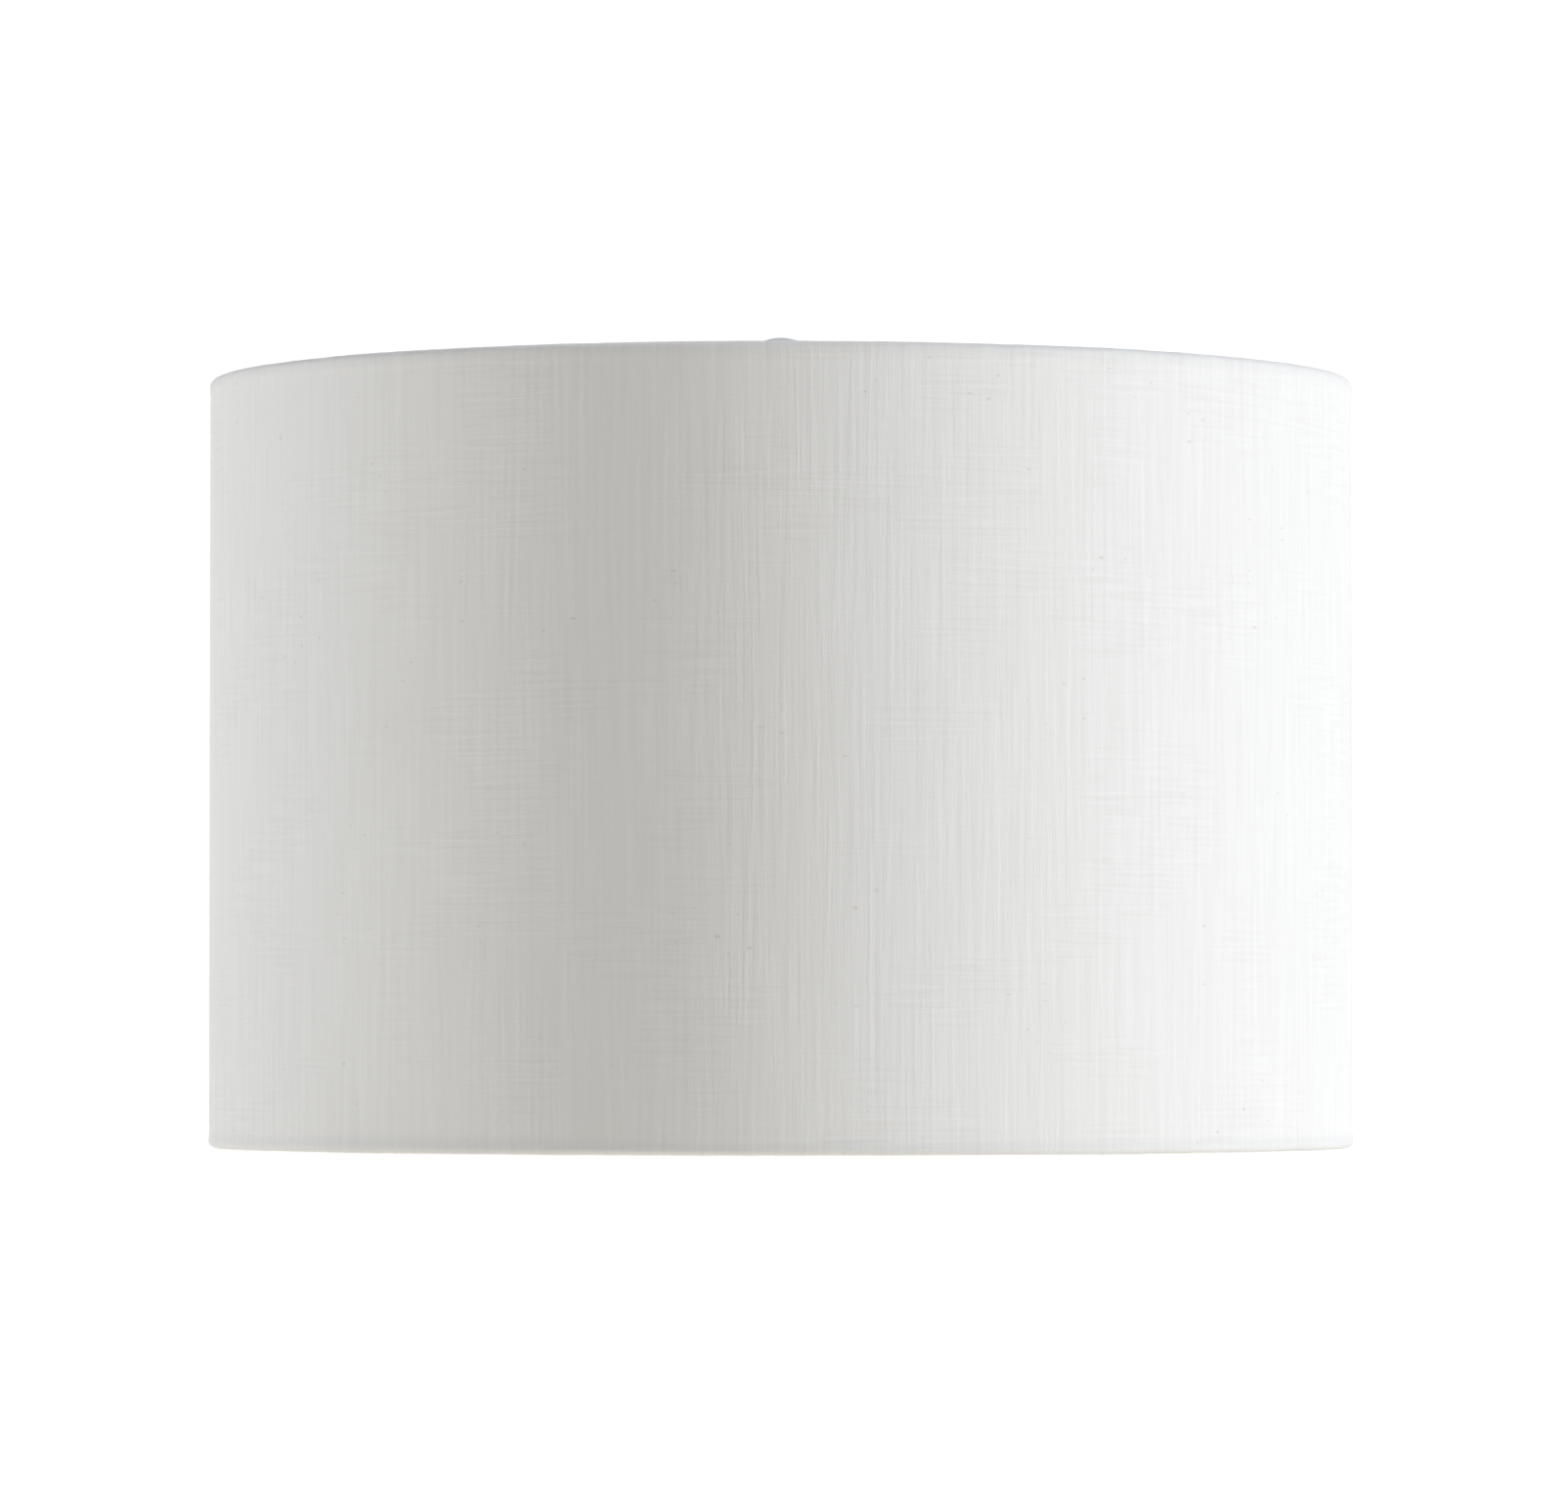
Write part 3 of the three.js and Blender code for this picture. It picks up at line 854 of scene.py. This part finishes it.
THREAD_MM = 0.85  # one thread
THREAD_WANDER = 0.9  # how far threads drift from straight, in millimetres
WEAVE_RELIEF = 0.050 * MM
LINEN_DARK = (0.665, 0.646, 0.597)
LINEN_LIGHT = (0.785, 0.771, 0.726)
LINEN_FLECK = (0.46, 0.40, 0.27)
# Painted shade near both rims of the cloth: its grey, and how much of it is mixed in.
RIM_SHADE_GREY = (0.42, 0.425, 0.43)
RIM_SHADE = 0.12
NICKEL_WORN = (0.78, 0.76, 0.70)
NICKEL_SPECK = (0.30, 0.27, 0.23)


def linen_material():
    """Bleached linen: a plain weave of uneven threads, long warp slubs, short slanting weft slubs."""
    m = Shader("linen_weave")
    flat = m.panel_mm()
    drift = m.node("ShaderNodeTexNoise", noise_dimensions="2D")
    m.plug(m.scaled(flat, (0.06, 0.04, 1)), drift.inputs["Vector"])
    wander = m.node("ShaderNodeVectorMath", operation="MULTIPLY_ADD")
    m.plug(drift.outputs["Color"], wander.inputs[0])
    wander.inputs[1].default_value = (THREAD_WANDER, THREAD_WANDER, 0)
    m.plug(flat, wander.inputs[2])
    threads = wander.outputs[0]

    x, y, _ = m.parts_of(threads)
    across = m.math("SINE", m.math("MULTIPLY", x, math.pi / THREAD_MM))
    along = m.math("SINE", m.math("MULTIPLY", y, math.pi / THREAD_MM))
    weave = m.math("MULTIPLY", across, along)

    warp_fine = m.noise(m.scaled(threads, (1.15, 0.030, 1)), detail=2.0)
    warp_wide = m.noise(m.scaled(threads, (0.42, 0.010, 1), shift=(31, 7, 0)), detail=1.0)
    warp_slub = m.noise(m.scaled(threads, (0.60, 0.024, 1), shift=(5, 83, 0)), detail=0.0)
    thick = m.between(warp_slub, 0.60, 0.74)
    thin = m.between(warp_slub, 0.40, 0.27)
    weft_fine = m.noise(m.scaled(threads, (0.030, 1.15, 1), turn_by=0.03, shift=(17, 3, 0)), detail=1.0)
    weft_slub = m.noise(m.scaled(threads, (0.036, 0.85, 1), turn_by=0.05, shift=(2, 55, 0)), detail=0.0)
    patches = m.noise(m.scaled(flat, (0.018, 0.03, 1), shift=(9, 9, 0)), detail=1.0)
    cluster = m.between(patches, 0.46, 0.62)
    weft_thick = m.math("MULTIPLY", m.between(weft_slub, 0.60, 0.74), cluster)
    weft_thin = m.math("MULTIPLY", m.between(weft_slub, 0.40, 0.28), cluster)
    cloud = m.noise(m.scaled(flat, (0.012, 0.012, 1), shift=(40, 4, 0)), detail=2.0)

    # Noise averages a half, so taking off half of each weight keeps the mean tone at a half.
    noises = [(warp_fine, 0.060), (warp_wide, 0.072), (weft_fine, 0.028), (cloud, 0.030)]
    slubs = [(thick, 0.022), (thin, -0.022), (weft_thick, 0.026), (weft_thin, -0.034), (weave, 0.004)]
    tone = m.weighted_sum(noises + slubs, start=0.5 - sum(weight for _, weight in noises) / 2)
    ramp = m.node("ShaderNodeValToRGB")
    m.plug(tone, ramp.inputs[0])
    stops = ((0.36, LINEN_DARK), (0.62, LINEN_LIGHT))
    for element, (position, colour) in zip(ramp.color_ramp.elements, stops):
        element.position = position
        element.color = (*colour, 1)

    fleck = m.noise(m.scaled(flat, (0.30, 0.55, 1), shift=(70, 20, 0)), detail=0.0)
    rare = m.noise(m.scaled(flat, (0.03, 0.03, 1), shift=(11, 90, 0)), detail=0.0)
    fleck = m.math("MULTIPLY", m.between(fleck, 0.85, 0.89), m.between(rare, 0.60, 0.68))
    colour = m.mix(m.math("MULTIPLY", fleck, 0.28), ramp.outputs[0], LINEN_FLECK)

    # Painted shade: within a few millimetres of both rims the cloth is greyed a little, for the shade
    # over the rolled edges, where no white liner lies behind it.
    height = m.parts_of(m.node("ShaderNodeTexCoord").outputs["Object"])["Z"]
    upper = m.between(height, shade_height - 5.4 * MM, shade_height - 2.4 * MM, 0.0, RIM_SHADE)
    lower = m.between(height, 5.8 * MM, 3.0 * MM, 0.0, RIM_SHADE)
    colour = m.mix(m.math("ADD", upper, lower), colour, RIM_SHADE_GREY)

    m.set(Base_Color=colour)
    m.set(Roughness=m.between(warp_fine, 0.3, 0.7, 0.97, 0.86))
    m.set(Specular_IOR_Level=0.22, Sheen_Weight=0.06, Sheen_Roughness=0.5)
    relief = m.weighted_sum([
        (weave, 0.10), (warp_fine, 1.0), (warp_wide, 0.7), (thick, 0.55), (thin, -0.4),
        (weft_fine, 0.35), (weft_thick, 0.45), (weft_thin, -0.35),
    ])
    m.bump(relief, 1.0, WEAVE_RELIEF)
    return m.material


def styrene_material():
    """White satin sheet with faint flow streaks, scuffs and a soft orange-peel surface."""
    m = Shader("styrene_satin")
    flat = m.panel_mm()
    streak = m.noise(m.scaled(flat, (0.10, 0.006, 1)), detail=3.0)
    mottle = m.noise(m.scaled(flat, (0.035, 0.035, 1), shift=(7, 3, 0)), detail=4.0, roughness=0.6)
    scuff = m.noise(m.scaled(flat, (0.02, 0.6, 1), turn_by=0.5), detail=3.0, roughness=0.7)
    tone = m.math("MULTIPLY_ADD", streak, 0.5, m.math("MULTIPLY", mottle, 0.5))
    colour = m.mix(m.between(tone, 0.35, 0.65), (0.82, 0.81, 0.776), (0.862, 0.853, 0.824))
    m.set(Base_Color=colour)
    m.set(Roughness=m.between(scuff, 0.45, 0.75, 0.36, 0.56), Specular_IOR_Level=0.4)
    peel = m.noise(m.scaled(flat, (0.35, 0.35, 1)), detail=2.0)
    m.bump(m.math("MULTIPLY_ADD", peel, 0.6, mottle), 0.35, 0.12 * MM)
    return m.material


def tape_material():
    """Yellowish adhesive film with a fibrous carrier."""
    m = Shader("tape_film")
    place = m.object_mm()
    fibre = m.noise(m.scaled(place, (1.1, 1.1, 0.25)), detail=4.0, roughness=0.65, dimensions="3D")
    m.set(Base_Color=m.mix(m.between(fibre, 0.3, 0.7), (0.55, 0.50, 0.38), (0.70, 0.66, 0.54)))
    m.set(Roughness=m.between(fibre, 0.3, 0.7, 0.35, 0.6))
    m.bump(fibre, 0.4, 0.05 * MM)
    return m.material


def plated_material(name, light, dark):
    """Satin nickel on drawn wire: fine lines along the wire, thin spots and faint tarnish."""
    m = Shader(name)
    flat = m.panel_mm()
    place = m.object_mm()
    drawn = m.noise(m.scaled(flat, (6.0, 0.12, 1)), detail=3.0, roughness=0.6)
    tarnish = m.noise(m.scaled(place, (0.09, 0.09, 0.09)), detail=4.0, roughness=0.6, dimensions="3D")
    speck = m.noise(m.scaled(place, (1.6, 1.6, 1.6)), detail=2.0, dimensions="3D")
    tone = m.math("MULTIPLY_ADD", drawn, 0.35, m.math("MULTIPLY", tarnish, 0.65))
    colour = m.mix(m.between(tone, 0.36, 0.66), dark, light)
    colour = m.mix(m.between(speck, 0.70, 0.80, 0.0, 0.35), colour, NICKEL_SPECK)
    m.set(Base_Color=colour, Metallic=1.0, Roughness=m.between(tone, 0.3, 0.7, 0.42, 0.24))
    m.bump(m.math("MULTIPLY_ADD", speck, 0.4, drawn), 0.25, 0.03 * MM)
    return m.material


def turned_material(name, light, dark):
    """Brushed warm nickel on a turned piece: lathe lines round it and worn, brighter high spots."""
    m = Shader(name)
    place = m.object_mm()
    rings = m.noise(m.scaled(place, (0.06, 0.06, 9.0)), detail=3.0, roughness=0.65, dimensions="3D")
    patina = m.noise(m.scaled(place, (0.22, 0.22, 0.22)), detail=5.0, roughness=0.6, dimensions="3D")
    edges = m.node("ShaderNodeNewGeometry")
    worn = m.between(edges.outputs["Pointiness"], 0.50, 0.56)
    tone = m.math("MULTIPLY_ADD", rings, 0.45, m.math("MULTIPLY", patina, 0.55))
    colour = m.mix(m.between(tone, 0.36, 0.64), dark, light)
    colour = m.mix(m.math("MULTIPLY", worn, 0.5), colour, NICKEL_WORN)
    m.set(Base_Color=colour, Metallic=1.0, Roughness=m.between(tone, 0.3, 0.7, 0.38, 0.22))
    m.bump(rings, 0.3, 0.03 * MM)
    return m.material


linen = linen_material()
styrene = styrene_material()
tape = tape_material()
nickel_wire = plated_material("plated_wire", (0.70, 0.68, 0.64), (0.50, 0.48, 0.44))
nickel_disc = turned_material("plated_washer", (0.70, 0.68, 0.64), (0.52, 0.50, 0.46))
finial_metal = turned_material("finial_nickel", (0.66, 0.645, 0.58), (0.47, 0.46, 0.41))

# ---------- Pieces, the bodies they ride on, and the CAD nodes they stand for ----------


def place_piece(piece, material, body, slot, *nodes):
    """Gives a piece its material and says which body carries it and which CAD nodes it stands for."""
    piece.data.materials.append(material)
    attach(piece, body)
    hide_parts(*nodes)


cloth, cloth_size = make_cloth()
place_piece(cloth, linen, "shade", "linen", "outer_cloth")
place_piece(make_liner(), styrene, "shade", "styrene", "styrene_liner")
place_piece(make_tape(), tape, "shade", "seam_tape", "seam_tape")
for rim, height in (("lower", lower_ring_height), ("upper", upper_ring_height)):
    ring = make_ring(f"{rim}_ring_wire", height)
    place_piece(ring, nickel_wire, "shade", "plated_wire", f"{rim}_ring")
for number, angle in enumerate(ARM_ANGLES, 1):
    place_piece(make_arm(number, angle), nickel_wire, "shade", "plated_wire", f"spider_arm_{number}")
place_piece(make_washer(), nickel_disc, "shade", "plated_washer", "spider_washer")
place_piece(make_finial_base(), finial_metal, "finial", "finial_metal", "finial_base")
place_piece(make_finial_knob(), finial_metal, "finial", "finial_metal", "finial_knob")

# ---------- Floor and light ----------

DAYLIGHT = (0.893, 0.940, 1.062)  # the lamps are a little cooler than the room
ROOM_TONE = (1.0, 0.985, 0.95)
SKY = 0.08  # the room's own even glow
BACKDROP = 1.04  # how bright the room's far wall looks to the camera
FLOOR_HALF = 30.0
FLOOR_LEVEL = -0.45 * MM
FLOOR_GLOW = 0.85
# Painted shadow: under the shade the table's glow is dimmed to this.
PAINTED_SHADOW_GLOW = 0.40  # the table glows less under the shade
GLOW_STARTS = 0.10  # between these distances from the axis the glow rises to FLOOR_GLOW
GLOW_FULL = 0.185
LAMPS = [
    {"azimuth": 74.3, "elevation": 24, "inner": 3, "outer": 12, "strength": 39.8},  # key
    {"azimuth": -98, "elevation": 24, "inner": 4, "outer": 16, "strength": 13.4},  # fill
    {"azimuth": 180, "elevation": 30, "inner": 15, "outer": 50, "strength": 0.8},  # behind
    {"azimuth": 0, "elevation": 90, "inner": 8, "outer": 34, "strength": 0.65},  # ceiling
]


def add_floor():
    """A pale translucent table that glows a little from below, as under a product photograph, with a
    painted shadow where its glow is dimmed under the shade.
    """
    m = Shader("floor_acrylic")
    grain = m.noise(m.object_mm(), scale=0.02, detail=2.0, dimensions="3D")
    m.set(Base_Color=m.mix(grain, (0.24, 0.24, 0.24), (0.26, 0.26, 0.26)))
    m.set(Roughness=0.9, Specular_IOR_Level=0.1, Emission_Color=(*ROOM_TONE, 1))
    place = m.node("ShaderNodeTexCoord")
    from_axis = m.node("ShaderNodeVectorMath", operation="LENGTH")
    m.plug(place.outputs["Object"], from_axis.inputs[0])
    # Painted shadow: the glow is dimmer under the shade and rises to full a little way out.
    glow_with_painted_shadow = m.between(from_axis.outputs["Value"], GLOW_STARTS, GLOW_FULL, PAINTED_SHADOW_GLOW, FLOOR_GLOW)
    m.set(Emission_Strength=glow_with_painted_shadow)
    square = ((-1, -1), (1, -1), (1, 1), (-1, 1))
    corners = [(x * FLOOR_HALF, y * FLOOR_HALF, FLOOR_LEVEL) for x, y in square]
    floor = add_piece("floor", corners, [(0, 1, 2, 3)])
    floor.data.materials.append(m.material)


def add_studio():
    """A pale room whose light is an even glow plus a few large soft lamps, each a round patch that
    fades from its inner to its outer angle. Azimuth 0 is in front of the shade and 90 to its right."""
    world = bpy.data.worlds.new("studio")
    world.use_nodes = True
    tree = world.node_tree

    def node(kind, **settings):
        made = tree.nodes.new(kind)
        for key, value in settings.items():
            setattr(made, key, value)
        return made

    place = node("ShaderNodeTexCoord")
    total = None
    for lamp in LAMPS:
        a, e = math.radians(lamp["azimuth"]), math.radians(lamp["elevation"])
        toward = node("ShaderNodeVectorMath", operation="DOT_PRODUCT")
        tree.links.new(place.outputs["Generated"], toward.inputs[0])
        direction = (math.sin(a) * math.cos(e), -math.cos(a) * math.cos(e), math.sin(e))
        toward.inputs[1].default_value = direction
        patch = node("ShaderNodeMapRange", interpolation_type="SMOOTHSTEP")
        tree.links.new(toward.outputs["Value"], patch.inputs["Value"])
        patch.inputs["From Min"].default_value = math.cos(math.radians(lamp["outer"]))
        patch.inputs["From Max"].default_value = math.cos(math.radians(lamp["inner"]))
        patch.inputs["To Max"].default_value = lamp["strength"]
        tinted = node("ShaderNodeVectorMath", operation="MULTIPLY_ADD")
        tree.links.new(patch.outputs["Result"], tinted.inputs[0])
        tinted.inputs[1].default_value = DAYLIGHT
        if total is None:
            tinted.inputs[2].default_value = tuple(SKY * c for c in ROOM_TONE)
        else:
            tree.links.new(total, tinted.inputs[2])
        total = tinted.outputs[0]
    path = node("ShaderNodeLightPath")
    colour = node("ShaderNodeMix", data_type="RGBA")
    tree.links.new(path.outputs["Is Camera Ray"], colour.inputs["Factor"])
    tree.links.new(total, colour.inputs[6])
    colour.inputs[7].default_value = (BACKDROP, BACKDROP, BACKDROP, 1)
    background = tree.nodes["Background"]
    background.inputs["Strength"].default_value = 1.0
    tree.links.new(colour.outputs[2], background.inputs["Color"])
    bpy.context.scene.world = world


add_floor()
add_studio()

scene = bpy.context.scene
scene.view_settings.view_transform = "Standard"
scene.view_settings.look = "None"

bpy.context.view_layer.update()
